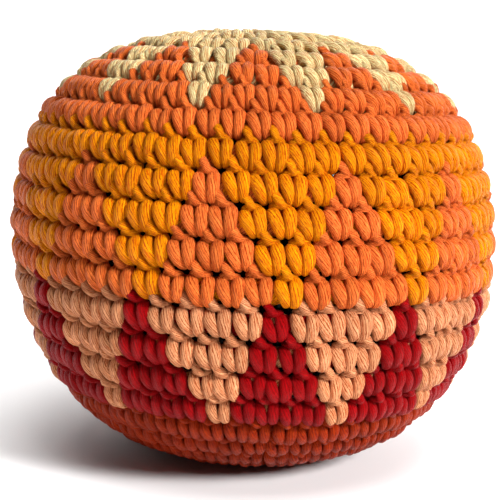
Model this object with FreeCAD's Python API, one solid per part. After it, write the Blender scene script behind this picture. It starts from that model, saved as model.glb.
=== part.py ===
"""Crocheted juggling ball: a cover worked in six cotton yarns, closed over a filling of loose pellets.

Millimetres, +Z up. The origin is the middle of the small flat that the ball rests on, under its
centre. Angles round the ball are measured from the front (-Y) towards the right (+X).
"""
import FreeCAD, Part
import math
import os

# The ball's outer shape: a flattened globe, fuller than a ball at the shoulders.
EQUATOR_RADIUS = 31.0
CROWN_HEIGHT = 26.1        # from the widest circle up to the closed crown
BASE_DEPTH = 28.0          # from the widest circle down to where the base would end if it were round
FOOT_RADIUS = 9.0          # the base flattens on this circle under the ball's own weight
GIRTH_POWER = 2.84
CROWN_POWER = 2.25
BASE_POWER = 1.95

# The crocheted fabric.
STITCH_LAYER = 1.6         # the V of each stitch, on the outside
CARRIED_LAYER = 1.2        # the yarn not in use, carried along inside the stitches
ROUNDS = 24
RING_SHARE = 0.54          # the start ring's share of one round, measured along the fabric
REPEATS = 12               # the colour pattern comes round this many times
LEAN = 0.4                 # each full round sits this share of a stitch further to the right

# Rounds, counted from the start ring. A tooth is a run of stitches in each of its rounds.
BASE_ROUNDS = (1, 7)
LOWER_ZIGZAG = (8, 11)     # crimson points up into peach
MIDDLE_ZIGZAG = (12, 15)   # coral points up into golden yellow
YELLOW_RING = 16
CORAL_RING = 17
UPPER_ZIGZAG = (18, 20)    # coral points up into cream
CROWN_ROUNDS = (21, 24)
FULL_ROUND = 60            # stitches in each round from 8 to 18
STITCHES_19, STITCHES_20 = 48, 36
YELLOW_POINT = 7.1         # angle of a single yellow stitch in round 12
CREAM_POINT = 15.0         # angle of a single cream stitch in round 18

# What is inside.
YARN_RADIUS = 0.8
RING_RADIUS = 1.15         # middle line of the start ring and of the closing ring
KNOT_RADIUS = 1.9
TAIL_LENGTH = 18.0
PELLET_RADIUS = 2.3
PELLET_LENGTH = 4.1
PELLET_PITCH = 5.5         # between neighbouring pellets, with room to shift
PELLET_CLEARANCE = 0.4     # between the fabric and the nearest pellets

TURN = 360.0
SAMPLES = 4000


def globe_outline():
    """Points up the outside in the half plane x >= 0: (distance along the outline, radius, height)."""
    points = []
    for half, height, power in ((-1, BASE_DEPTH, BASE_POWER), (1, CROWN_HEIGHT, CROWN_POWER)):
        for i in range(SAMPLES + 1):
            share = i / SAMPLES if half < 0 else 1.0 - i / SAMPLES
            angle = math.pi / 2 * share ** 1.5
            radius = EQUATOR_RADIUS * math.sin(angle) ** (2 / GIRTH_POWER)
            points.append((radius, half * height * math.cos(angle) ** (2 / power)))
    outline, along = [], 0.0
    for i, (radius, z) in enumerate(points):
        if i:
            along += math.hypot(radius - points[i - 1][0], z - points[i - 1][1])
        outline.append((along, radius, z))
    return outline


OUTLINE = globe_outline()
OUTLINE_LENGTH = OUTLINE[-1][0]
ROUND_PITCH = OUTLINE_LENGTH / (ROUNDS + 1)
FLOOR = -BASE_DEPTH * (1 - (FOOT_RADIUS / EQUATOR_RADIUS) ** GIRTH_POWER) ** (1 / BASE_POWER)


def globe_point(along):
    """Radius and height of the unflattened outline at a distance along it."""
    low, high = 0, len(OUTLINE) - 1
    while high - low > 1:
        middle = (low + high) // 2
        if OUTLINE[middle][0] <= along:
            low = middle
        else:
            high = middle
    before, after = OUTLINE[low], OUTLINE[high]
    share = (along - before[0]) / max(after[0] - before[0], 1e-12)
    return tuple(before[i] + share * (after[i] - before[i]) for i in (1, 2))


def wall_point(along, depth):
    """A point of the fabric, at a distance along the outline and a depth under the outside."""
    reach = ROUND_PITCH / 4
    r0, z0 = globe_point(max(along - reach, 0.0))
    r1, z1 = globe_point(min(along + reach, OUTLINE_LENGTH))
    length = math.hypot(r1 - r0, z1 - z0)
    radius, z = globe_point(along)
    radius -= depth * (z1 - z0) / length
    z += depth * (r1 - r0) / length
    # The base is pressed flat from the outside in, and its rest height is z = 0.
    return FreeCAD.Vector(max(radius, 0.05), 0, max(z, FLOOR + depth) - FLOOR)


def round_edge(number):
    """Distance along the outline to the lower edge of a round."""
    return (number - 1 + RING_SHARE) * ROUND_PITCH


def shell(first, last, outside, inside, start=0.0, sweep=TURN):
    """The fabric from one round to another, between two depths, over an angle round the ball."""
    edges = [round_edge(number) for number in range(first, last + 2)]
    corners = [wall_point(edge, outside) for edge in edges]
    corners += [wall_point(edge, inside) for edge in reversed(edges)]
    face = Part.Face(Part.makePolygon(corners + corners[:1]))
    origin, up = FreeCAD.Vector(0, 0, 0), FreeCAD.Vector(0, 0, 1)
    if sweep < TURN:
        face.rotate(origin, up, start - TURN / 4)
    return face.revolve(origin, up, sweep)


def run(number, centre, stitches, stitch_angle, inside=STITCH_LAYER):
    """A run of stitches of one colour in one round."""
    sweep = stitches * stitch_angle
    return shell(number, number, 0.0, inside, centre - sweep / 2, sweep)


def all_round(runs):
    """The same tooth at every repeat of the pattern."""
    tooth = runs[0].multiFuse(runs[1:]) if len(runs) > 1 else runs[0]
    teeth = []
    for i in range(REPEATS):
        copy = tooth.copy()
        copy.rotate(FreeCAD.Vector(0, 0, 0), FreeCAD.Vector(0, 0, 1), i * TURN / REPEATS)
        teeth.append(copy)
    return teeth


def joined(shapes):
    """One closed solid from pieces that meet face to face."""
    solid = shapes[0].multiFuse(shapes[1:]).removeSplitter()
    return solid.Solids[0] if len(solid.Solids) == 1 else solid


def zigzag(first, last, grows_left):
    """Tooth runs in the full rounds: widest below and pointing up, or pointing down and widest above."""
    step = TURN / FULL_ROUND
    per_repeat = FULL_ROUND // REPEATS
    runs_up, runs_down = [], []
    for number in range(first, last + 1):
        if grows_left:
            point, wide = YELLOW_POINT + LEAN * step * (number - first), number - first
            lower = point - wide * step / 2
        else:
            point, wide = YELLOW_POINT - LEAN * step * (last + 1 - number), last - number
            lower = point + wide * step / 2
        stitches = wide + 1
        others = per_repeat - stitches
        opposite = lower + step * per_repeat / 2
        runs_down.append(run(number, lower, stitches, step))
        runs_up.append(run(number, opposite, others, step))
    return runs_down, runs_up


def orange_base():
    return shell(*BASE_ROUNDS, 0.0, STITCH_LAYER + CARRIED_LAYER)


def crimson_and_peach():
    first, last = LOWER_ZIGZAG
    halfway = (first + last) // 2
    crimson_runs, peach_runs = zigzag(first, last, grows_left=False)
    whole = STITCH_LAYER + CARRIED_LAYER
    crimson = joined([shell(first, halfway, STITCH_LAYER, whole)] + all_round(crimson_runs))
    peach = joined([shell(halfway + 1, last, STITCH_LAYER, whole)] + all_round(peach_runs))
    return crimson, peach


def yellow_coral_and_cream():
    """Coral is carried inside the yellow ring, which joins its teeth below and above that ring."""
    first, last = MIDDLE_ZIGZAG
    whole = STITCH_LAYER + CARRIED_LAYER
    yellow_runs, coral_runs = zigzag(first, last, grows_left=True)
    coral_upper, cream_lower = upper_zigzag()
    yellow = [shell(YELLOW_RING, YELLOW_RING, 0.0, STITCH_LAYER)] + all_round(yellow_runs)
    coral = [shell(first, YELLOW_RING, STITCH_LAYER, whole), shell(CORAL_RING, CORAL_RING, 0.0, whole)]
    coral += all_round(coral_runs) + all_round(coral_upper)
    cream = [shell(*CROWN_ROUNDS, 0.0, whole)] + all_round(cream_lower)
    return joined(yellow), joined(coral), joined(cream)


def upper_zigzag():
    """Coral teeth in the narrowing rounds and the cream between them, both through the whole fabric."""
    whole = STITCH_LAYER + CARRIED_LAYER
    coral, cream = [], []
    cream_stitches = (1, 2, 2)
    around = (FULL_ROUND, STITCHES_19, STITCHES_20)
    for number, stitches, count in zip(range(UPPER_ZIGZAG[0], UPPER_ZIGZAG[1] + 1), cream_stitches, around):
        step = TURN / count
        others = count // REPEATS - stitches
        cream.append(run(number, CREAM_POINT, stitches, step, whole))
        coral.append(run(number, CREAM_POINT + TURN / REPEATS / 2, others, step, whole))
    return coral, cream


def drawn_ring(z):
    """A loop of yarn pulled tight round a tiny hole, lying flat."""
    return Part.makeTorus(RING_RADIUS, YARN_RADIUS, FreeCAD.Vector(0, 0, z), FreeCAD.Vector(0, 0, 1))


def pellets(lowest, highest, keep_clear):
    """Short rods of plastic in close-packed layers, wherever a whole one fits inside the cover."""
    inner = STITCH_LAYER + CARRIED_LAYER + PELLET_CLEARANCE
    wall = [wall_point(i * ROUND_PITCH / 4, inner) for i in range(4 * (ROUNDS + 1) + 1)]

    def room_at(z):
        """Largest radius inside the cover at a height."""
        return max([0.0] + [a.x + (b.x - a.x) * (z - a.z) / (b.z - a.z)
                            for a, b in zip(wall, wall[1:]) if (a.z - z) * (b.z - z) <= 0 and a.z != b.z])

    rods = []
    layer_height = PELLET_LENGTH + 0.35
    layers = int((highest - lowest) / layer_height)
    row_pitch = PELLET_PITCH * math.sqrt(3) / 2
    reach = int(EQUATOR_RADIUS / row_pitch) + 1
    for layer in range(layers):
        z = lowest + layer * layer_height
        room = min(room_at(z), room_at(z + PELLET_LENGTH)) - PELLET_RADIUS
        shift = layer % 2
        for row in range(-reach, reach + 1):
            y = (row + shift / 3) * row_pitch
            for column in range(-reach, reach + 1):
                x = (column + (row % 2) / 2 + shift / 2) * PELLET_PITCH
                if keep_clear < math.hypot(x, y) < room:
                    rods.append(Part.makeCylinder(PELLET_RADIUS, PELLET_LENGTH, FreeCAD.Vector(x, y, z)))
    return Part.makeCompound(rods)


def build():
    crimson, peach = crimson_and_peach()
    yellow, coral, cream = yellow_coral_and_cream()
    top = CROWN_HEIGHT - FLOOR
    whole = STITCH_LAYER + CARRIED_LAYER
    start_ring_z = 1.2 * YARN_RADIUS
    closing_ring_z = top - 1.3 * YARN_RADIUS
    knot_z = closing_ring_z - YARN_RADIUS - KNOT_RADIUS - 0.2
    tail_top = knot_z - KNOT_RADIUS
    start_tail_z = start_ring_z + YARN_RADIUS
    up = FreeCAD.Vector(0, 0, 1)
    return {
        "burnt_orange_yarn": orange_base(),
        "crimson_yarn": crimson,
        "peach_yarn": peach,
        "golden_yellow_yarn": yellow,
        "coral_yarn": coral,
        "cream_yarn": cream,
        "start_ring": drawn_ring(start_ring_z),
        "start_tail": Part.makeCylinder(YARN_RADIUS, TAIL_LENGTH, FreeCAD.Vector(0, 0, start_tail_z), up),
        "closing_ring": drawn_ring(closing_ring_z),
        "closing_knot": Part.makeSphere(KNOT_RADIUS, FreeCAD.Vector(0, 0, knot_z)),
        "closing_tail": Part.makeCylinder(YARN_RADIUS, TAIL_LENGTH, FreeCAD.Vector(0, 0, tail_top - TAIL_LENGTH), up),
        "filling_pellets": pellets(whole + PELLET_CLEARANCE, tail_top, YARN_RADIUS + PELLET_RADIUS + 0.2),
    }


os.makedirs("parts", exist_ok=True)
for name, shape in build().items():
    shape.exportStep(f"parts/{name}.step")
    print(name, "solids", len(shape.Solids), "valid", shape.isValid(),
          "closed", all(solid.isClosed() for solid in shape.Solids), "mm3", round(shape.Volume, 1))
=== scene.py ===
# %% [markdown]
# # A crocheted juggling ball
# The real thing is one bag of yarn, worked in a spiral of single crochet and closed over loose
# pellets. Six cotton yarns take turns to show, and the yarn that isn't showing is carried inside
# the stitches. The model is made the way the ball is: one stitch is shaped flat on the table, it is
# laid side by side into a round, and each round is then wrapped onto the ball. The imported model
# gives the size, so it is loaded first and its box is kept.

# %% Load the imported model
import math
import random

import bmesh
import bpy
from mathutils import Matrix, Vector


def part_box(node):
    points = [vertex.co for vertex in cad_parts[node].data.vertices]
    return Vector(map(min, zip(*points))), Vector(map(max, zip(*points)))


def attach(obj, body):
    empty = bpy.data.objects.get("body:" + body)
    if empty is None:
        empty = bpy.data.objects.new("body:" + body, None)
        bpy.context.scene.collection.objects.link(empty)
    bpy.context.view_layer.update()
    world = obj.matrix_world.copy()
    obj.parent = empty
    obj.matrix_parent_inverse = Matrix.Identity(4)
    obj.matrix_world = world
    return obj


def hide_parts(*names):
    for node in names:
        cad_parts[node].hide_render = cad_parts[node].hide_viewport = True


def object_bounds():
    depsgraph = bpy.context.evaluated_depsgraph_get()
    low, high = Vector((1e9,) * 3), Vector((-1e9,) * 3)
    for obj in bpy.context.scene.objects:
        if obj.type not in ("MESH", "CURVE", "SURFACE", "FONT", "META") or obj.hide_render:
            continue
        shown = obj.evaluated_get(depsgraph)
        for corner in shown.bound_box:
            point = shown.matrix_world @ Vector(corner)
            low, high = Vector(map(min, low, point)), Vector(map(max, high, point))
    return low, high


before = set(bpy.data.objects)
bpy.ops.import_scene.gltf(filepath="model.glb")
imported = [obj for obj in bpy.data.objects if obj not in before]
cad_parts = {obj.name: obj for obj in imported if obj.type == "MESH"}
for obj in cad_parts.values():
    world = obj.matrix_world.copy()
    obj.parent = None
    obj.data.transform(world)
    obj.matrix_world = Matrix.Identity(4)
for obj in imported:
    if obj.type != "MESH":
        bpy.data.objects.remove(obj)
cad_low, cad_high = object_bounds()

MM = 0.001
TURN = 360.0
print("nodes:", ", ".join(sorted(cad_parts)))
print("box of the packed model, mm:", [round(v / MM, 1) for v in cad_high - cad_low])

# %% [markdown]
# ## The globe that the fabric covers
# The ball is a flattened globe with full shoulders, because the last rounds are decreased quickly.
# A superellipse gives that outline from three powers: one for the girth and one for each half. It is
# walked in small steps, so that any distance along the fabric, from the start ring to the closed
# crown, can be turned into a radius and a height.

# %% The outline
EQUATOR = (cad_high.x - cad_low.x) / 2 / MM
CROWN_HEIGHT = 0.855 * EQUATOR
BASE_DEPTH = 0.903 * EQUATOR
GIRTH_POWER = 2.84
CROWN_POWER = 2.25
BASE_POWER = 1.95
OUTLINE_STEPS = 1500
POLE_CROWDING = 1.5


def half_outline(height, power):
    """(radius, height) from the pole of one half to the equator."""
    points = []
    for i in range(OUTLINE_STEPS + 1):
        angle = math.pi / 2 * (i / OUTLINE_STEPS) ** POLE_CROWDING
        radius = EQUATOR * math.sin(angle) ** (2 / GIRTH_POWER)
        points.append((radius, height * math.cos(angle) ** (2 / power)))
    return points


def walk(points):
    """(distance walked, radius, height) for each point of an outline."""
    walked, distance = [], 0.0
    for i, (radius, z) in enumerate(points):
        if i:
            distance += math.hypot(radius - points[i - 1][0], z - points[i - 1][1])
        walked.append((distance, radius, z))
    return walked


base_half = half_outline(-BASE_DEPTH, BASE_POWER)
crown_half = half_outline(CROWN_HEIGHT, CROWN_POWER)
outline = walk(base_half + crown_half[-2::-1])
fabric_length = outline[-1][0]


def outline_at(distance):
    """Radius and height of the outline at a distance along it, by halving the search."""
    distance = min(max(distance, 0.0), fabric_length)
    low, high = 0, len(outline) - 1
    while high - low > 1:
        middle = (low + high) // 2
        if outline[middle][0] <= distance:
            low = middle
        else:
            high = middle
    before, after = outline[low], outline[high]
    share = (distance - before[0]) / max(after[0] - before[0], 1e-9)
    return before[1] + share * (after[1] - before[1]), before[2] + share * (after[2] - before[2])


print("fabric from ring to crown, mm:", round(fabric_length, 1))

# %% [markdown]
# ## From flat fabric to the ball
# A stitch is easiest to shape and to place on flat fabric, with degrees round the ball going across
# and millimetres going up. This step finds where such a place lies on the ball, and which way is out.
# The answers are kept in a table, because every vertex asks. The filling settles, so the ball leans a
# little to one side, and its base is pressed flat where it rests.

# %% Wrap a point of the fabric onto the ball
CROWN_PROUD = 0.013 * EQUATOR
EQUATOR_Z = cad_high.z / MM + CROWN_PROUD - CROWN_HEIGHT
SLUMP = 0.026
FOOT_SOFTNESS = 0.35
NORMAL_REACH = 1.0
TABLE_STEP = 0.1
surface_table = []
for step in range(int(fabric_length / TABLE_STEP) + 2):
    radius, z = outline_at(step * TABLE_STEP)
    r0, z0 = outline_at(step * TABLE_STEP - NORMAL_REACH)
    r1, z1 = outline_at(step * TABLE_STEP + NORMAL_REACH)
    length = math.hypot(r1 - r0, z1 - z0)
    surface_table.append((radius, z + EQUATOR_Z, (z1 - z0) / length, -(r1 - r0) / length))


def on_ball(angle, along, out):
    """A point of the ball in metres: degrees round it, mm along the fabric, mm out of it."""
    place = min(max(along / TABLE_STEP, 0.0), len(surface_table) - 1.001)
    low = int(place)
    share = place - low
    a, b = surface_table[low], surface_table[low + 1]
    radius, z, normal_r, normal_z = (a[i] + share * (b[i] - a[i]) for i in range(4))
    turn = math.radians(angle)
    reach = max(radius + out * normal_r, 0.0)
    z = z + out * normal_z
    # The fabric flattens as it comes near the table, and never goes below it.
    z = (z + math.sqrt(z * z + FOOT_SOFTNESS ** 2)) / 2
    x = reach * math.sin(turn) - SLUMP * (z - EQUATOR_Z)
    return Vector((x, -reach * math.cos(turn), z)) * MM


print("places in the table:", len(surface_table))

# %% [markdown]
# ## The rounds
# The ball is one spiral of twenty-four rounds. It grows over the first seven, stays at sixty stitches
# over the belly, and is decreased quickly at the crown. Working in a spiral makes every stitch sit a
# little to one side of the one below, so the colour teeth lean. The spiral climbs to the left and
# its jog is kept at the back. The weight of the filling makes the lower rounds sag by a part of a
# round, and the next few rounds are stretched to let that out.

# %% Stitch counts and positions
ROUND_STITCHES = [8, 16, 24, 32, 40, 48, 54] + [60] * 11 + [48, 36, 30, 24, 16, 8]
ROUNDS = len(ROUND_STITCHES)
ROUND_PITCH = fabric_length / (ROUNDS + 1)
RING_SHARE = 0.54
LEAN = 0.4
LAST_BASE_ROUND = 7
BASE_SAG = 0.24
ROUNDS_LET_OUT = 4
FULL = max(ROUND_STITCHES)
FULL_WIDTH = TURN / FULL
YELLOW_POINT_ROUND = 12
YELLOW_POINT_ANGLE = 7.1
CREAM_EDGE = {19: 11.5, 20: 10.3}


def stitch_step(number):
    """Degrees from one stitch to the next. In the full rounds the lean takes a little of the turn."""
    count = ROUND_STITCHES[number - 1]
    return (TURN - LEAN * FULL_WIDTH) / count if count == FULL else TURN / count


def first_angle(number):
    """Angle of the stitch that the colour pattern counts from."""
    plain = YELLOW_POINT_ANGLE + LEAN * FULL_WIDTH * (number - YELLOW_POINT_ROUND)
    return CREAM_EDGE.get(number, plain)


def along_fabric(number, angle):
    """Distance up the fabric of a round's middle line, which climbs to the left by one round a turn."""
    place = number - 0.5 - angle / TURN
    if place < LAST_BASE_ROUND:
        sag = BASE_SAG * max(place, 0) / LAST_BASE_ROUND
    else:
        sag = BASE_SAG * max(0, 1 - (place - LAST_BASE_ROUND) / ROUNDS_LET_OUT)
    return (place + RING_SHARE - sag) * ROUND_PITCH


def stitches_of(number):
    """(index in the pattern, angle) for every stitch of a round, left to right, jog at the back."""
    step, start = stitch_step(number), first_angle(number)
    lowest = math.ceil((-TURN / 2 - start) / step)
    found = []
    index = lowest
    while start + index * step < TURN / 2:
        found.append((index, start + index * step))
        index += 1
    return found


print("stitches:", sum(len(stitches_of(n)) for n in range(1, ROUNDS + 1)))
print("pitch of a round, mm:", round(ROUND_PITCH, 2))

# %% [markdown]
# ## The colour teeth
# Two yarns share each round of teeth. One shows, the other is carried along inside the stitches, and
# they change places at the edge of a tooth. A tooth is one stitch wider or narrower in each round, so
# a stitch's colour follows from its round and its place in the repeat. Nothing has to be drawn.

# %% Choose the yarn that shows and the yarn that is carried
REPEATS = 12
REPEAT_WIDTH = FULL // REPEATS
LAST_CRIMSON_ROUND = 11
LAST_YELLOW_TOOTH = 15
YELLOW_BAND, CORAL_BAND = 16, 17
CREAM_TIP_ROUND = 18
LAST_CREAM_TOOTH = 20
CARRIED_PAIRS = [
    (range(LAST_BASE_ROUND + 1, LAST_CRIMSON_ROUND + 1), ("crimson", "peach")),
    (range(YELLOW_POINT_ROUND, YELLOW_BAND + 1), ("golden_yellow", "coral")),
    (range(CREAM_TIP_ROUND, LAST_CREAM_TOOTH + 1), ("coral", "cream")),
]


def yarn_of(number, index):
    """The yarn that shows in a stitch."""
    if number <= LAST_BASE_ROUND:
        return "burnt_orange"
    if number > LAST_CREAM_TOOTH:
        return "cream"
    place = index % (ROUND_STITCHES[number - 1] // REPEATS)
    if number <= LAST_CRIMSON_ROUND:
        return "crimson" if place <= LAST_CRIMSON_ROUND - number else "peach"
    if number <= LAST_YELLOW_TOOTH:
        grown = number - YELLOW_POINT_ROUND
        return "golden_yellow" if (-index) % REPEAT_WIDTH <= grown else "coral"
    if number == YELLOW_BAND:
        return "golden_yellow"
    if number == CORAL_BAND:
        return "coral"
    if number == CREAM_TIP_ROUND:
        return "cream" if (index + 1) % REPEAT_WIDTH == 0 else "coral"
    return "cream" if place <= 1 else "coral"


def carried_yarn(number, shown):
    """The yarn that lies inside a stitch, behind the one that shows."""
    for rounds_of_pair, pair in CARRIED_PAIRS:
        if number in rounds_of_pair:
            return pair[1] if shown == pair[0] else pair[0]
    return shown


print("repeats:", REPEATS, "each", REPEAT_WIDTH, "stitches wide at the belly")

# %% [markdown]
# ## One strand of yarn
# Every part of a stitch is a length of plied yarn that bends gently. It is easiest to set a few points,
# each with the yarn's width and thickness there, and to run a smooth curve through them. A
# Catmull-Rom curve is chosen because it passes through every point that was set.

# %% A smooth path
def smooth_path(points, rings):
    """Catmull-Rom through a few given points of (x, y, out, half width, half thickness)."""
    spans = len(points) - 1
    padded = [points[0]] + list(points) + [points[-1]]
    path = []
    for ring in range(rings):
        place = ring * spans / (rings - 1)
        span = min(int(place), spans - 1)
        t = place - span
        four = padded[span:span + 4]
        path.append([0.5 * (2 * b + (c - a) * t + (2 * a - 5 * b + 4 * c - d) * t * t
                            + (3 * b - a - 3 * c + d) * t ** 3) for a, b, c, d in zip(*four)])
    return path


print("half way from 0 to 1 on a smooth path:", smooth_path([(0,), (1,)], 3)[1][0])

# %% [markdown]
# A circle of vertices is extruded from ring to ring along the path, and each ring is turned a little
# more than the last, so the plies wind round the yarn as real ones do. Every second vertex of a ring
# is set in, to make the groove between two plies. Each vertex remembers its place round the yarn and
# along it.

# %% Extrude a strand
LOBE = 0.13
UP = Vector((0, 0, 1))


def place_ring(verts, layers, station, ahead, facing, sides, twist, along):
    """Sets one ring of vertices across the path, its thickness towards the facing side."""
    centre, tangent = Vector(station[:3]), Vector(ahead).normalized()
    outward = (facing - tangent * tangent.dot(facing)).normalized()
    sideways = tangent.cross(outward)
    for vert in verts:
        side = vert[layers["side"]]
        angle = 2 * math.pi * side / sides + twist
        groove = 1 + LOBE / 2 if side % 2 else 1 - LOBE
        vert.co = (centre + sideways * math.cos(angle) * station[3] * groove
                   + outward * math.sin(angle) * station[4] * groove)
        vert[layers["along"]] = along


def extrude_row(bm, edges):
    """Extrudes a row of edges and gives the new row, as its vertices and its edges."""
    made = bmesh.ops.extrude_edge_only(bm, edges=edges)["geom"]
    verts = [part for part in made if isinstance(part, bmesh.types.BMVert)]
    row = set(verts)
    return verts, [part for part in made if isinstance(part, bmesh.types.BMEdge)
                   and part.verts[0] in row and part.verts[1] in row]


def strand(bm, path, sides, turns, facing, start=0.0):
    """Extrudes a plied strand along a path and closes its ends."""
    layers = {"side": bm.verts.layers.int["side"], "along": bm.verts.layers.float["along"]}
    ring = bmesh.ops.create_circle(bm, segments=sides, radius=1.0)["verts"]
    for side, vert in enumerate(ring):
        vert[layers["side"]] = side
    edges = list(dict.fromkeys(edge for vert in ring for edge in vert.link_edges))
    loops_made = []
    along = 0.0
    for number, station in enumerate(path):
        before, after = path[max(number - 1, 0)], path[min(number + 1, len(path) - 1)]
        ahead = [b - a for a, b in zip(before[:3], after[:3])]
        if number:
            along += math.dist(station[:3], before[:3])
            ring, edges = extrude_row(bm, edges)
        twist = start + 2 * math.pi * turns * number / (len(path) - 1)
        place_ring(ring, layers, station, ahead, facing, sides, twist, along)
        loops_made.append(edges)
    bmesh.ops.edgenet_fill(bm, edges=loops_made[0])
    bmesh.ops.edgenet_fill(bm, edges=loops_made[-1])


print("every second side is set in by a share of", LOBE)

# %% [markdown]
# The places that the vertices remember become the strand's own UV map, as if the yarn were slit along
# its length and rolled flat. A pattern on that map winds with the plies. A projection from outside
# would run straight across them.

# %% Mark and unroll a strand
def add_layers(bm):
    """The marks that each vertex carries: place round the strand, place along it, and tone."""
    bm.verts.layers.int.new("side")
    bm.verts.layers.float.new("along")
    bm.verts.layers.float.new("tone")


def lay_uv(bm, sides_of_face):
    """Unrolls every strand: U goes once round it, V runs along it in millimetres."""
    side, along = bm.verts.layers.int["side"], bm.verts.layers.float["along"]
    uv = bm.loops.layers.uv.new("strand")
    for face in bm.faces:
        numbers = [loop.vert[side] for loop in face.loops]
        sides = sides_of_face(face)
        wraps = len(face.loops) == 4 and max(numbers) - min(numbers) > sides / 2
        for loop in face.loops:
            around = loop.vert[side]
            if wraps and around < sides / 2:
                around += sides
            loop[uv].uv = (around / sides, loop.vert[along])


print("a strand's UV map: once round it across, millimetres along it up")

# %% [markdown]
# ## One stitch, flat on the table
# Seen from outside, a single crochet is a V of two plump legs. The legs rise from the hole where the
# hook went in, lean apart, and dive under the round above. The loop left along the top of the stitch
# shows as a small slanting knob between the feet of the next two Vs, and its back half lies behind
# them. A stitch is shaped in millimetres, x across, y up the fabric and z outwards, and eight
# versions keep neighbours from being copies of each other.

# %% The paths of a stitch's strands
STITCH_WIDTH = math.pi * 2 * EQUATOR / FULL

# Each point of a path is (stitch widths across, round pitches up, mm out, half width in mm, half
# thickness in mm).
LEFT_LEG = [
    (0.01, -0.47, -2.20, 0.44, 0.40),
    (-0.03, -0.38, -1.22, 0.66, 0.58),
    (-0.12, -0.20, -0.80, 0.84, 0.72),
    (-0.21, 0.02, -0.74, 0.94, 0.76),
    (-0.29, 0.22, -0.92, 0.98, 0.76),
    (-0.33, 0.39, -1.85, 0.80, 0.60),
]
RIGHT_LEG = [
    (0.22, -0.47, -2.20, 0.44, 0.40),
    (0.24, -0.38, -1.22, 0.66, 0.58),
    (0.26, -0.20, -0.80, 0.84, 0.72),
    (0.28, 0.03, -0.72, 0.94, 0.76),
    (0.29, 0.26, -0.90, 0.98, 0.76),
    (0.28, 0.43, -1.85, 0.80, 0.60),
]
KNOB = [
    (-0.30, 0.92, -1.80, 0.52, 0.48),
    (-0.25, 0.82, -1.05, 0.74, 0.66),
    (-0.12, 0.68, -0.72, 0.84, 0.74),
    (0.02, 0.53, -0.95, 0.76, 0.66),
    (0.10, 0.38, -1.75, 0.52, 0.46),
]
BACK_LOOP = [
    (-0.42, 0.40, -1.90, 0.50, 0.46),
    (-0.14, 0.50, -1.18, 0.62, 0.52),
    (0.14, 0.50, -1.18, 0.62, 0.52),
    (0.40, 0.42, -1.90, 0.50, 0.46),
]
# (path, rings, sides, turns of the twist) for each strand of a stitch.
STITCH_STRANDS = [
    (LEFT_LEG, 6, 8, 0.20),
    (RIGHT_LEG, 6, 8, 0.20),
    (KNOB, 5, 6, 0.60),
    (BACK_LOOP, 4, 6, 0.10),
]
print("strands in a stitch:", len(STITCH_STRANDS), "width of a stitch, mm:", round(STITCH_WIDTH, 2))

# %% Shape the stitch
VERSIONS = 8
FIRST_SEED = 100
UNEVENNESS = 0.05
THINNEST, THICKEST = 0.94, 1.06
MOST_START_TWIST = 1.2


def uneven(points, wobble):
    """The points of a path in millimetres, each moved and swollen a little."""
    path = []
    for x, y, out, half_width, half_thickness in points:
        path.append((
            x * STITCH_WIDTH + wobble.gauss(0, UNEVENNESS),
            y * ROUND_PITCH + wobble.gauss(0, UNEVENNESS),
            out + wobble.gauss(0, UNEVENNESS),
            half_width * wobble.uniform(THINNEST, THICKEST),
            half_thickness * wobble.uniform(THINNEST, THICKEST),
        ))
    return path


def make_stitch(number):
    """One version of the stitch as a mesh that is used again and again."""
    wobble = random.Random(FIRST_SEED + number)
    bm = bmesh.new()
    add_layers(bm)
    sides_of_face = []
    for points, rings, sides, turns in STITCH_STRANDS:
        path = smooth_path(uneven(points, wobble), rings)
        strand(bm, path, sides, turns, UP, wobble.uniform(0, MOST_START_TWIST))
        sides_of_face += [sides] * (len(bm.faces) - len(sides_of_face))
    bm.faces.index_update()
    lay_uv(bm, lambda face: sides_of_face[face.index])
    bmesh.ops.recalc_face_normals(bm, faces=bm.faces)
    mesh = bpy.data.meshes.new(f"stitch_version_{number}")
    bm.to_mesh(mesh)
    bm.free()
    return mesh


stitch_versions = [make_stitch(number) for number in range(VERSIONS)]
print("versions:", VERSIONS, "faces in one stitch:", len(stitch_versions[0].polygons))

# %% [markdown]
# ## Cotton yarn
# Mercerised cotton has a silky gloss along its fibres, so each yarn is a fabric with a soft sheen and
# a fairly low roughness. The fine strands are drawn on the strand's own UV map: bands run along the
# plies, a stretched noise breaks them up, and both go into the bump and into the colour, as painted
# shade in the grooves and a painted highlight on the fibres.

# %% Draw the fine strands
FINE_STRANDS = 16
SPLIT_STRANDS = 27
SPLIT_LEAN = 1.6
FIBRE_LEAN = -3.0
FIBRE_WANDER = 13.0
TUBE_RADIUS = 1.5
NOISE_STRETCH = 0.5
TONE_JUMP = 37.0
# Shares of the height that come from the bands, the splits and the noise, above a base.
BAND_SHARE, SPLIT_SHARE, NOISE_SHARE, BASE_HEIGHT = 0.17, 0.15, 0.9, 0.27


def node(tree, kind, **values):
    """A node with its settings and constant inputs filled in."""
    made = tree.nodes.new(kind)
    for name, value in values.items():
        if hasattr(made, name):
            setattr(made, name, value)
        else:
            made.inputs[name.replace("_", " ")].default_value = value
    return made


def maths(tree, operation, *values):
    """A Math node on links and numbers."""
    made = tree.nodes.new("ShaderNodeMath")
    made.operation = operation
    for socket, value in zip(made.inputs, values):
        if isinstance(value, (int, float)):
            socket.default_value = value
        else:
            tree.links.new(value, socket)
    return made.outputs[0]


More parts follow.
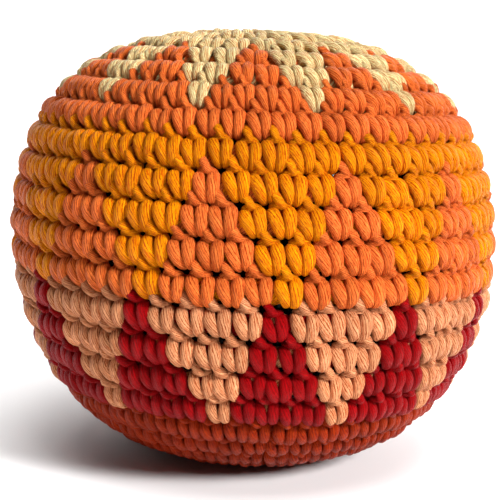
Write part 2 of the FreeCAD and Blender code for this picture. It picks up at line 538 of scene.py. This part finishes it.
def fibre_height(tree, tone):
    """Height of the fine strands, from about 0 to 1, drawn on the strand UV map."""
    uv = node(tree, "ShaderNodeUVMap", uv_map="strand").outputs["UV"]
    parts = tree.nodes.new("ShaderNodeSeparateXYZ")
    tree.links.new(uv, parts.inputs[0])
    along = parts.outputs["Y"]
    turn = maths(tree, "MULTIPLY", parts.outputs["X"], 2 * math.pi)

    # The noise is read on a tube, so it meets itself round the strand. The tone moves it along.
    tube = tree.nodes.new("ShaderNodeCombineXYZ")
    stretched = maths(tree, "MULTIPLY", along, NOISE_STRETCH)
    for socket, part in zip(tube.inputs, (
        maths(tree, "MULTIPLY", maths(tree, "COSINE", turn), TUBE_RADIUS),
        maths(tree, "MULTIPLY", maths(tree, "SINE", turn), TUBE_RADIUS),
        maths(tree, "MULTIPLY_ADD", tone, TONE_JUMP, stretched),
    )):
        tree.links.new(part, socket)
    fibre = node(tree, "ShaderNodeTexNoise", Scale=2.4, Detail=6.0, Roughness=0.72)
    tree.links.new(tube.outputs[0], fibre.inputs["Vector"])
    noise = fibre.outputs["Fac"]

    wander = maths(tree, "MULTIPLY", noise, FIBRE_WANDER)
    lean = maths(tree, "MULTIPLY_ADD", along, FIBRE_LEAN, wander)
    split_lean = maths(tree, "MULTIPLY", lean, SPLIT_LEAN)
    bands = maths(tree, "SINE", maths(tree, "MULTIPLY_ADD", turn, FINE_STRANDS, lean))
    splits = maths(tree, "SINE", maths(tree, "MULTIPLY_ADD", turn, SPLIT_STRANDS, split_lean))
    height = maths(tree, "MULTIPLY_ADD", bands, BAND_SHARE, BASE_HEIGHT)
    height = maths(tree, "MULTIPLY_ADD", splits, SPLIT_SHARE, height)
    return maths(tree, "MULTIPLY_ADD", noise, NOISE_SHARE, height)


print("fine strands round a ply:", FINE_STRANDS)

# %% [markdown]
# The six yarns differ only in their colour, so one recipe serves them all. The grooves between the
# fine strands get painted shade that is deeper in colour, because light that goes into a groove
# bounces from fibre to fibre and loses more of the weaker colours. The fibres get a paler painted
# highlight. The tone kept on each stitch makes neighbours slightly lighter or darker, as hand-dyed
# yarn is.

# %% Mix the six yarns
YARN_COLOURS = {
    # The burnt orange is a deeper dye than the coral, and it is set darker still as painted shade,
    # because it only covers the underside of the ball.
    "burnt_orange": (0.37, 0.024, 0.0005),
    "crimson": (0.33, 0.0003, 0.0015),
    "peach": (0.80, 0.285, 0.105),
    "golden_yellow": (0.95, 0.225, 0.0005),
    "coral": (0.84, 0.152, 0.022),
    "cream": (0.98, 0.58, 0.22),
}
# Painted shade in the grooves: what is left there of a yarn's red, green and blue.
# Painted highlight on the fibres: how far they rise there.
GROOVE_PAINTED_SHADE = (0.62, 0.30, 0.15)
FIBRE_PAINTED_HIGHLIGHT = (1.20, 1.55, 2.0)
GROOVE_HEIGHT, FIBRE_HEIGHT = 0.52, 0.88
DARKEST_TONE, TONE_RANGE = 0.87, 0.26
WHITE_GLOSS = 0.15
STRAND_DEPTH = 0.00030


def painted_light_colour(colour, shade):
    """A yarn's colour with each part scaled and kept within 1, for the painted shade and highlight."""
    return (*(min(part * by, 1) for part, by in zip(colour, shade)), 1)


def cotton(name, colour):
    """Yarn that reads the strand UV map and the tone of each stitch."""
    material = bpy.data.materials.new(name + "_cotton")
    material.use_nodes = True
    tree = material.node_tree
    tree.nodes.clear()
    tone = node(tree, "ShaderNodeAttribute", attribute_name="tone").outputs["Fac"]
    height = fibre_height(tree, tone)

    # The ramp paints shade into the grooves and a paler highlight onto the fibres.
    ramp = tree.nodes.new("ShaderNodeValToRGB")
    dark, light = ramp.color_ramp.elements
    dark.position, light.position = GROOVE_HEIGHT, FIBRE_HEIGHT
    dark.color, light.color = painted_light_colour(colour, GROOVE_PAINTED_SHADE), painted_light_colour(colour, FIBRE_PAINTED_HIGHLIGHT)
    tree.links.new(height, ramp.inputs["Fac"])
    brightness = node(tree, "ShaderNodeHueSaturation", Saturation=1.0)
    value = maths(tree, "MULTIPLY_ADD", tone, TONE_RANGE, DARKEST_TONE)
    tree.links.new(value, brightness.inputs["Value"])
    tree.links.new(ramp.outputs["Color"], brightness.inputs["Color"])

    bump = node(tree, "ShaderNodeBump", Strength=1.0, Distance=STRAND_DEPTH)
    tree.links.new(height, bump.inputs["Height"])
    # The gloss is mostly the yarn's own colour.
    gloss = [WHITE_GLOSS + (1 - WHITE_GLOSS) * part / max(colour) for part in colour]
    shader = node(tree, "ShaderNodeBsdfPrincipled", Roughness=0.40, Specular_IOR_Level=0.26,
                  Specular_Tint=(*gloss, 1), Sheen_Weight=0.04, Sheen_Roughness=0.4,
                  Sheen_Tint=(*gloss, 1))
    tree.links.new(brightness.outputs["Color"], shader.inputs["Base Color"])
    tree.links.new(bump.outputs["Normal"], shader.inputs["Normal"])
    out = tree.nodes.new("ShaderNodeOutputMaterial")
    tree.links.new(shader.outputs[0], out.inputs["Surface"])
    return material


yarns = {name: cotton(name, colour) for name, colour in YARN_COLOURS.items()}
print("yarns:", ", ".join(yarns))

# %% [markdown]
# ## Lay the stitches
# A maker's hand is never quite even, so each stitch gets a little lean, swell and shift of its own
# before its vertices are wrapped onto the globe. The draws come from one seeded source, so the ball
# comes out the same every time.

# %% Wrap one stitch onto the ball
hand = random.Random(7)
LEAN_SPREAD = 3.5
SWELL_SPREAD = 0.03
SHIFT_SPREADS = (0.09, 0.10, 0.07)
STITCH_RISE = 0.18


def wrap_stitch(bm, version, number, angle, step, tone):
    """Copies one stitch into the round and wraps it onto the ball."""
    first = len(bm.verts)
    bm.from_mesh(version)
    bm.verts.ensure_lookup_table()
    lean = math.radians(hand.gauss(0, LEAN_SPREAD))
    swell = 1 + hand.gauss(0, SWELL_SPREAD)
    shift_x, shift_y, shift_out = (hand.gauss(0, spread) for spread in SHIFT_SPREADS)
    tone_layer = bm.verts.layers.float["tone"]
    for vert in bm.verts[first:]:
        x, y, out = vert.co * swell
        x, y = (x * math.cos(lean) - y * math.sin(lean) + shift_x,
                x * math.sin(lean) + y * math.cos(lean) + shift_y)
        place = angle + x / STITCH_WIDTH * step
        vert.co = on_ball(place, along_fabric(number, place) + y, out + shift_out + STITCH_RISE)
        vert[tone_layer] = tone


print("stitches are raised by, mm:", STITCH_RISE)

# %% [markdown]
# ## The yarn that isn't showing
# The yarn that isn't showing runs through the middle of the stitches, and the stitches are worked
# round it. It is one flat, wavy length for each run of stitches, so what shows through a gap is yarn
# and not an empty ball. Both ends reach into the next run, so no hole opens where the yarns change
# places. In rounds of a single yarn, that yarn lies behind its own stitches.

# %% Lay one length of carried yarn
CORE_SIDES = 6
CORE_STEPS = 2
CORE_DEPTH = 1.68
CORE_WAVE = 0.60
CORE_OVERLAP = 0.4
CORE_SWAY, CORE_SWAY_RATE = 0.08, 2.3
CORE_HALF_WIDTH, CORE_HALF_THICKNESS = 2.05, 0.90
CORE_TWIST = 0.12


def carried_length(bm, number, from_angle, to_angle, tone):
    """The yarn not in use, as one length lying inside a run of stitches."""
    step = stitch_step(number)
    reach = CORE_OVERLAP * CORE_STEPS
    inner_turn = to_angle - from_angle - 2 * CORE_OVERLAP * step
    halves = max(2, round(inner_turn / step * CORE_STEPS))
    path = []
    for i in [-reach, *range(halves + 1), halves + reach]:
        path.append((
            STITCH_WIDTH * (i + reach) / CORE_STEPS,
            -CORE_WAVE * math.cos(math.pi * i),
            CORE_SWAY * math.cos(CORE_SWAY_RATE * i),
            CORE_HALF_WIDTH,
            CORE_HALF_THICKNESS,
        ))
    first = len(bm.verts)
    strand(bm, path, CORE_SIDES, CORE_TWIST * len(path), UP)
    bm.verts.ensure_lookup_table()
    tone_layer = bm.verts.layers.float["tone"]
    width = (to_angle - from_angle) / path[-1][0]
    for vert in bm.verts[first:]:
        place = from_angle + vert.co.x * width
        along = along_fabric(number, place) + vert.co.y
        vert.co = on_ball(place, along, vert.co.z - CORE_DEPTH)
        vert[tone_layer] = tone


def runs_of(number, stitches):
    """(carried yarn, first angle, last angle) for each run of stitches that hides the same yarn."""
    step, runs = stitch_step(number), []
    for index, angle in stitches:
        hidden = carried_yarn(number, yarn_of(number, index))
        if runs and runs[-1][0] == hidden:
            runs[-1][2] = angle + step / 2
        else:
            runs.append([hidden, angle - step / 2, angle + step / 2])
    return runs


print("the carried yarn lies below the outline by, mm:", CORE_DEPTH)

# %% [markdown]
# ## Work the rounds
# Each yarn gets one piece per round: its own stitches, and the lengths of it that are carried behind
# the other yarn's stitches. The cover is soft.
# Smoothing once rounds the plies off without losing the grooves between them.


def finish_piece(bm, name, material, yarn_node):
    """Turns a bmesh into a piece of the ball, smoothed once, on the root body."""
    mesh = bpy.data.meshes.new(name)
    bm.to_mesh(mesh)
    bm.free()
    mesh.materials.append(material)
    mesh.shade_smooth()
    piece = bpy.data.objects.new(name, mesh)
    bpy.context.scene.collection.objects.link(piece)
    smooth = piece.modifiers.new("round_off", "SUBSURF")
    smooth.levels = smooth.render_levels = 1
    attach(piece, "root")
    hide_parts(yarn_node)
    return piece


def work_round(number):
    """All pieces of one round, one for each yarn in it."""
    stitches = stitches_of(number)
    step = stitch_step(number)
    runs = runs_of(number, stitches)
    shown = {yarn_of(number, index) for index, _ in stitches}
    made = []
    for yarn in sorted(shown | {run[0] for run in runs}):
        bm = bmesh.new()
        add_layers(bm)
        for hidden, start, end in runs:
            if hidden == yarn:
                reach = CORE_OVERLAP * step
                carried_length(bm, number, start - reach, end + reach, hand.random())
        lay_uv(bm, lambda face: CORE_SIDES)
        bmesh.ops.recalc_face_normals(bm, faces=bm.faces)
        for index, angle in stitches:
            if yarn_of(number, index) == yarn:
                wrap_stitch(bm, hand.choice(stitch_versions), number, angle, step, hand.random())
        name = f"round_{number:02d}_{yarn}"
        piece = finish_piece(bm, name, yarns[yarn], f"{yarn}_yarn")
        made.append(piece)
    return made


rounds = {number: work_round(number) for number in range(1, ROUNDS + 1)}
pieces_made = [piece for made in rounds.values() for piece in made]
faces_made = sum(len(piece.data.polygons) for piece in pieces_made)
print("pieces:", len(pieces_made), "faces before smoothing:", faces_made)

# %% [markdown]
# ## Where the yarn starts and ends
# The work starts with a ring of burnt orange yarn pulled tight at the base, and its end hangs inside.
# At the crown the last stitches are gathered on a cream ring, which is drawn shut, knotted inside and
# left with a tail. These are bare lengths of yarn, so each is one strand laid along its own path. A ring
# is a turn and a little more, so that its ends cross over and dip inwards as they do in a slip loop.

# %% Make a bare length of yarn
BARE_SIDES = 8


def bare_yarn(name, path, facing, turns, yarn, packed_node):
    """A length of yarn along a path in millimetres, as its own piece."""
    bm = bmesh.new()
    add_layers(bm)
    strand(bm, path, BARE_SIDES, turns, facing)
    lay_uv(bm, lambda face: BARE_SIDES)
    bmesh.ops.recalc_face_normals(bm, faces=bm.faces)
    bmesh.ops.scale(bm, vec=(MM, MM, MM), verts=bm.verts)
    return finish_piece(bm, name, yarns[yarn], packed_node)


print("sides of a bare length:", BARE_SIDES)

# %% The paths of the rings, the knot and the tails
RING_STEPS, RING_TURNS, RING_THICKNESS = 22, 1.12, 0.95
RING_WAVER, RING_TUCK, RING_DIP, RING_END = 0.06, 0.35, 1.6, 6
KNOT_STEPS, KNOT_SPREAD, KNOT_HEIGHT, KNOT_THICKNESS = 40, 0.22, 0.42, 0.27
TAIL_STEPS, TAIL_SWAY, TAIL_THICKNESS = 14, 0.3, 0.9
TAIL_RATE_X, TAIL_RATE_Y = 4.1, 6.3


def ring_path(packed_node, dip):
    """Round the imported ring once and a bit. Both ends dip towards the inside of the ball."""
    low, high = (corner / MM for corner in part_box(packed_node))
    middle, thick = (low + high) / 2, (high.z - low.z) / 2
    reach = (high.x - low.x) / 2 - thick
    path = []
    for i in range(RING_STEPS + 1):
        share = i / RING_STEPS
        angle = 2 * math.pi * RING_TURNS * (share - 0.5)
        end = abs(2 * share - 1) ** RING_END
        radius = reach * (1 + RING_WAVER * math.sin(3 * angle)) * (1 - RING_TUCK * end)
        path.append((
            middle.x + radius * math.sin(angle),
            middle.y + radius * math.cos(angle),
            middle.z + dip * end * thick * RING_DIP,
            thick * RING_THICKNESS,
            thick * RING_THICKNESS,
        ))
    return path


def knot_path(packed_node):
    """An overhand knot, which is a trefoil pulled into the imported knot's box."""
    low, high = (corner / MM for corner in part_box(packed_node))
    middle, reach = (low + high) / 2, (high.x - low.x) / 2
    path = []
    for i in range(KNOT_STEPS + 1):
        turn = 2 * math.pi * (i + 0.5) / (KNOT_STEPS + 1)
        x = math.sin(turn) + 2 * math.sin(2 * turn)
        y = math.cos(turn) - 2 * math.cos(2 * turn)
        path.append((
            middle.x + KNOT_SPREAD * reach * x,
            middle.y + KNOT_SPREAD * reach * y,
            middle.z - KNOT_HEIGHT * reach * math.sin(3 * turn),
            KNOT_THICKNESS * reach,
            KNOT_THICKNESS * reach,
        ))
    return path


def tail_path(packed_node):
    """The loose end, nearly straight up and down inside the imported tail."""
    low, high = (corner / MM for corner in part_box(packed_node))
    middle, thick = (low + high) / 2, (high.x - low.x) / 2
    path = []
    for i in range(TAIL_STEPS + 1):
        share = i / TAIL_STEPS
        path.append((
            middle.x + TAIL_SWAY * math.sin(TAIL_RATE_X * share),
            middle.y + TAIL_SWAY * math.sin(TAIL_RATE_Y * share),
            low.z + share * (high.z - low.z),
            thick * TAIL_THICKNESS,
            thick * TAIL_THICKNESS,
        ))
    return path


print("steps in a ring, a knot and a tail:", RING_STEPS, KNOT_STEPS, TAIL_STEPS)

# %% Lay the rings, the knot and the tails
FRONT = Vector((0, -1, 0))
# (name, path, side to face, turns of the twist, yarn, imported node) of each length.
bare_lengths = [
    bare_yarn("start_ring_yarn", ring_path("start_ring", 1), UP, 3.0, "burnt_orange", "start_ring"),
    bare_yarn("start_tail_yarn", tail_path("start_tail"), FRONT, 4.0, "burnt_orange", "start_tail"),
    bare_yarn("closing_ring_yarn", ring_path("closing_ring", -1), UP, 3.0, "cream", "closing_ring"),
    bare_yarn("closing_knot_yarn", knot_path("closing_knot"), UP, 7.0, "cream", "closing_knot"),
    bare_yarn("closing_tail_yarn", tail_path("closing_tail"), FRONT, 4.0, "cream", "closing_tail"),
]
print("bare lengths of yarn:", ", ".join(piece.name for piece in bare_lengths))

# %% [markdown]
# ## The filling
# Through the small holes between stitches the filling shows: dark, glossy plastic pellets. A pellet is
# a short rod cut from a plastic strand, rounded by tumbling. There are hundreds of them, so the rod
# has only a few dozen faces.

# %% Shape one pellet
PELLET_SIDES = 8
PELLET_RADIUS, PELLET_LENGTH, PELLET_ROUNDING = 2.3 * MM, 4.1 * MM, 0.8 * MM


def pellet_mesh():
    """One pellet with rounded ends, from a capped cylinder whose rims are bevelled."""
    bm = bmesh.new()
    bmesh.ops.create_cone(bm, cap_ends=True, segments=PELLET_SIDES, radius1=PELLET_RADIUS,
                          radius2=PELLET_RADIUS, depth=PELLET_LENGTH)
    rims = [edge for edge in bm.edges if abs(edge.verts[0].co.z - edge.verts[1].co.z) < MM]
    bmesh.ops.bevel(bm, geom=rims, offset=PELLET_ROUNDING, affect="EDGES", segments=1, profile=0.5,
                    material=-1)
    mesh = bpy.data.meshes.new("pellet")
    bm.to_mesh(mesh)
    bm.free()
    return mesh


pellet = pellet_mesh()
print("faces of a pellet:", len(pellet.polygons))

# %% [markdown]
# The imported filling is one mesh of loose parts, and each part shows where a pellet lies. A rod is
# copied into the middle of each, tumbled a little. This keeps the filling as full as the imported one
# without working out how pellets would settle.

# %% Pour the pellets
SAME_VERTEX = 0.00001
PELLET_TIP = 0.1


def loose_parts(mesh):
    """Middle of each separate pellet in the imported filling."""
    bm = bmesh.new()
    bm.from_mesh(mesh)
    bmesh.ops.remove_doubles(bm, verts=bm.verts, dist=SAME_VERTEX)
    seen, middles = set(), []
    for vert in bm.verts:
        if vert in seen:
            continue
        group, waiting = [], [vert]
        seen.add(vert)
        while waiting:
            at = waiting.pop()
            group.append(at.co)
            for edge in at.link_edges:
                other = edge.other_vert(at)
                if other not in seen:
                    seen.add(other)
                    waiting.append(other)
        low = Vector(min(co[i] for co in group) for i in range(3))
        high = Vector(max(co[i] for co in group) for i in range(3))
        middles.append((low + high) / 2)
    bm.free()
    return middles


def glossy_plastic():
    """Near-black plastic with a fine mottle."""
    material = bpy.data.materials.new("pellet_plastic")
    material.use_nodes = True
    tree = material.node_tree
    shader = tree.nodes["Principled BSDF"]
    place = tree.nodes.new("ShaderNodeTexCoord").outputs["Object"]
    mottle = node(tree, "ShaderNodeTexNoise", Scale=900.0, Detail=2.0)
    tree.links.new(place, mottle.inputs["Vector"])
    ramp = tree.nodes.new("ShaderNodeValToRGB")
    ramp.color_ramp.elements[0].color = (0.006, 0.006, 0.008, 1)
    ramp.color_ramp.elements[1].color = (0.03, 0.028, 0.03, 1)
    tree.links.new(mottle.outputs["Fac"], ramp.inputs["Fac"])
    tree.links.new(ramp.outputs["Color"], shader.inputs["Base Color"])
    shader.inputs["Roughness"].default_value = 0.22
    return material


def pour_pellets():
    """A tumbled pellet in the place of each packed one, all as one piece."""
    bm = bmesh.new()
    tumble = random.Random(3)
    for middle in loose_parts(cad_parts["filling_pellets"].data):
        first = len(bm.verts)
        bm.from_mesh(pellet)
        bm.verts.ensure_lookup_table()
        spin = Matrix.Rotation(tumble.uniform(0, 6.28), 4, "Z")
        tip = Matrix.Rotation(tumble.gauss(0, PELLET_TIP), 4, "X")
        place = Matrix.Translation(middle) @ (spin @ tip)
        bmesh.ops.transform(bm, matrix=place, verts=bm.verts[first:])
    return finish_piece(bm, "pellets", glossy_plastic(), "filling_pellets")


pellets = pour_pellets()
print("pellet faces:", len(pellets.data.polygons))

# %% [markdown]
# ## Paper
# The ball stands on a sheet of pale paper that lies flat and then sweeps up behind it, so there is no
# line where floor meets wall. It is a single edge extruded along a bent route. The sheet is only a
# stage and not a part of the ball.

# %% Lay the paper
PAPER_HALF_WIDTH = 1.5
PAPER_FRONT, BEND_START, BEND_RADIUS, PAPER_TOP = -1.2, 0.6, 0.4, 1.6
BEND_STEPS = 8
PAPER_SHADE = 0.86


def pale(name, shade):
    """A matt white or grey."""
    material = bpy.data.materials.new(name)
    material.use_nodes = True
    shader = material.node_tree.nodes["Principled BSDF"]
    shader.inputs["Base Color"].default_value = (shade, shade, shade, 1)
    shader.inputs["Roughness"].default_value = 0.8
    return material


def backdrop():
    """A pale sheet that lies flat under the ball and sweeps up behind it."""
    route = [(BEND_START, 0.0)]
    for i in range(1, BEND_STEPS + 1):
        bend = math.pi / 2 * i / BEND_STEPS
        route.append((BEND_START + BEND_RADIUS * math.sin(bend),
                      BEND_RADIUS - BEND_RADIUS * math.cos(bend)))
    route.append((BEND_START + BEND_RADIUS, PAPER_TOP))
    bm = bmesh.new()
    y, z = PAPER_FRONT, 0.0
    start = [bm.verts.new((x, y, z)) for x in (-PAPER_HALF_WIDTH, PAPER_HALF_WIDTH)]
    edges = [bm.edges.new(start)]
    for next_y, next_z in route:
        verts, edges = extrude_row(bm, edges)
        bmesh.ops.translate(bm, verts=verts, vec=(0, next_y - y, next_z - z))
        y, z = next_y, next_z
    bmesh.ops.recalc_face_normals(bm, faces=bm.faces)
    mesh = bpy.data.meshes.new("backdrop")
    bm.to_mesh(mesh)
    bm.free()
    mesh.shade_smooth()
    mesh.materials.append(pale("paper", PAPER_SHADE))
    sheet = bpy.data.objects.new("backdrop", mesh)
    bpy.context.scene.collection.objects.link(sheet)
    return sheet


paper = backdrop()
print("paper faces:", len(paper.data.polygons))

# %% [markdown]
# ## Light
# A soft window light comes from the right, and a weaker one from above fills the crown. Saturated
# yarn looks washed out if the paper has to be lit white by the same lamps, so the paper has a lamp of
# its own, which is linked to the paper and doesn't reach the ball. The room adds a faint light from
# all round. A view that goes past the edge of the paper sees plain white. The standard view transform
# keeps the yarns as strong as they were mixed.

# %% Light the ball and the paper
# (name, place in metres, size in metres, watts) of each lamp.
LAMPS = [
    ("window", (1.42, -1.06, 0.98), 0.50, 72.0),
    ("top", (0.20, -0.45, 1.55), 0.8, 14.0),
    ("paper_light", (0.0, -0.2, 1.9), 1.6, 24.0),
]
ROOM_LIGHT = 0.03
ROOM_WHITE = 0.90
CENTRE = Vector((0, 0, EQUATOR_Z * MM))


def soft_light(name, place, size, watts):
    """A square lamp that is turned towards the ball."""
    light = bpy.data.lights.new(name, "AREA")
    light.size = size
    light.energy = watts
    lamp = bpy.data.objects.new(name, light)
    lamp.location = place
    lamp.rotation_euler = (CENTRE - Vector(place)).to_track_quat("-Z", "Y").to_euler()
    bpy.context.scene.collection.objects.link(lamp)
    return lamp


def room():
    """Faint light from all round, and white to look at for a view that goes past the paper."""
    world = bpy.data.worlds.new("room")
    world.use_nodes = True
    tree = world.node_tree
    tree.nodes.clear()
    faint = node(tree, "ShaderNodeBackground", Color=(1, 1, 1, 1), Strength=ROOM_LIGHT)
    white = node(tree, "ShaderNodeBackground", Color=(1, 1, 1, 1), Strength=ROOM_WHITE)
    seen = tree.nodes.new("ShaderNodeLightPath").outputs["Is Camera Ray"]
    mix = tree.nodes.new("ShaderNodeMixShader")
    for source, socket in zip((seen, faint.outputs[0], white.outputs[0]), mix.inputs):
        tree.links.new(source, socket)
    out = tree.nodes.new("ShaderNodeOutputWorld")
    tree.links.new(mix.outputs[0], out.inputs["Surface"])
    return world


lamps = {name: soft_light(name, place, size, watts) for name, place, size, watts in LAMPS}
lit_by_paper_light = bpy.data.collections.new("lit_by_paper_light")
lit_by_paper_light.objects.link(paper)
lamps["paper_light"].light_linking.receiver_collection = lit_by_paper_light
bpy.context.scene.world = room()
bpy.context.scene.view_settings.view_transform = "Standard"
print("lamps:", ", ".join(lamps))

# %% [markdown]
# ## Camera
# The ball is seen from a little above its middle and nearly fills the frame. The camera stands five
# ball radii away with a long lens, is aimed a touch below the middle, and is rolled by about a degree.

# %% Place the camera
CAMERA_DISTANCE = 5.0 * EQUATOR * MM
LENS, SENSOR_WIDTH = 85.5, 36.0
ELEVATION = math.radians(7.42)
ROLL = math.radians(1.4)
AIM = Vector((-0.38, 0.0, EQUATOR_Z - 1.75)) * MM

camera = bpy.data.objects.new("camera", bpy.data.cameras.new("camera"))
camera.data.lens, camera.data.sensor_width = LENS, SENSOR_WIDTH
camera.data.clip_start, camera.data.clip_end = 0.01, 10.0
back = Vector((0, -math.cos(ELEVATION), math.sin(ELEVATION)))
camera.location = CENTRE + back * CAMERA_DISTANCE
look = (AIM - camera.location).to_track_quat("-Z", "Y").to_matrix().to_4x4()
camera.rotation_euler = (look @ Matrix.Rotation(ROLL, 4, "Z")).to_euler()
bpy.context.scene.collection.objects.link(camera)
bpy.context.scene.camera = camera
print("camera stands at, m:", [round(v, 3) for v in camera.location])
